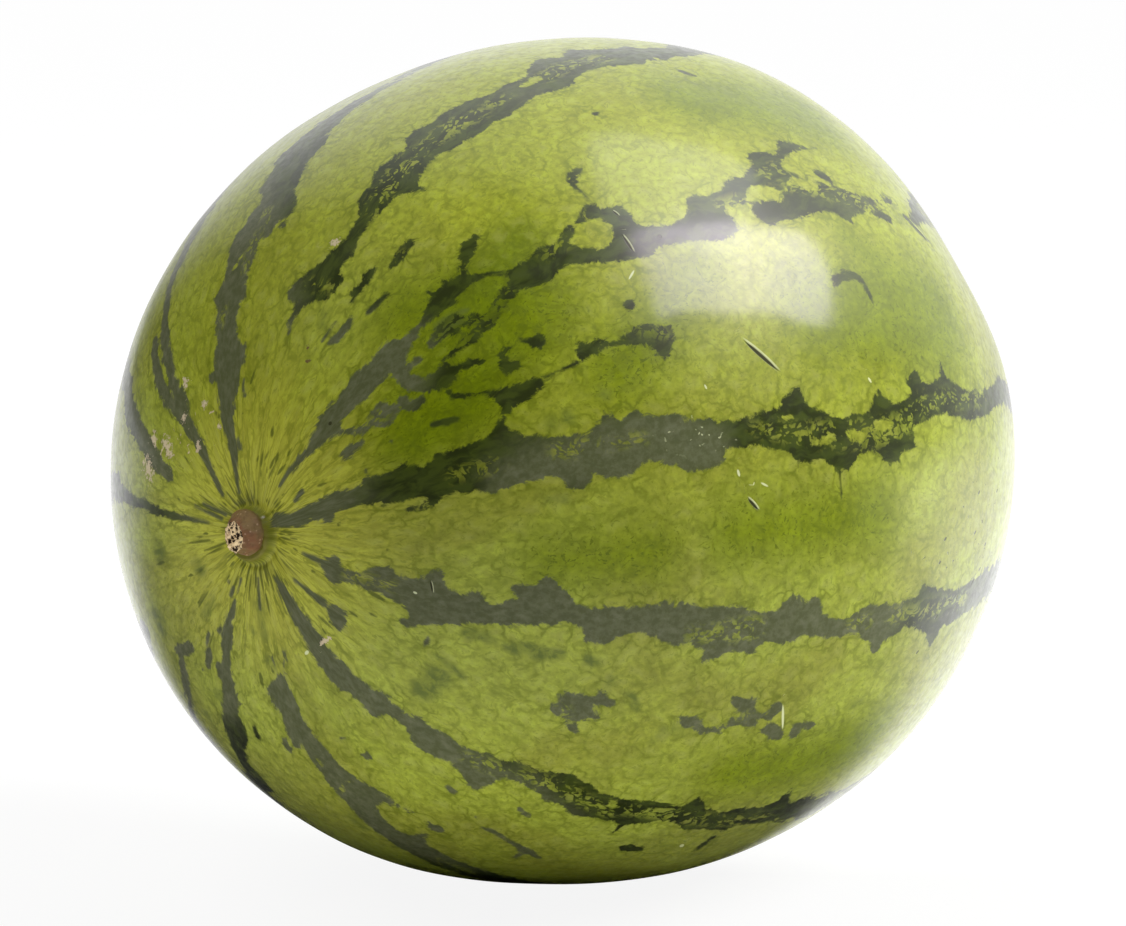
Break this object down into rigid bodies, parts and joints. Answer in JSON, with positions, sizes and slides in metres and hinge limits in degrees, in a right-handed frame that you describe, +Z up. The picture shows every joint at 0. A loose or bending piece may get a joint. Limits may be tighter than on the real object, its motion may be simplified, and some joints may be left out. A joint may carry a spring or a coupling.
{
  "type": "watermelon",
  "caption": "Whole striped watermelon, slightly longer than wide, lying on its side on a small flat spot, with the dry stub of its stalk at one end.",
  "frame": {"origin": "on the surface that the fruit rests on, under the middle of its outline, stalk stub included", "axes": "+X along the fruit from the stalk end to the blossom end, +Z up, +Y to the back"},
  "size_m": [0.262, 0.2172, 0.2153],
  "materials": {
    "rind": "smooth waxy melon rind, yellow green with a fine net of darker veins and dark green lobed stripes, soft sheen",
    "dry_stalk": "dry brown stalk, smooth on its side, with a pale corky broken tip"
  },
  "bodies": {
    "root": {"fruit": "rind", "stalk_stub": "dry_stalk"}
  },
  "joints": []
}
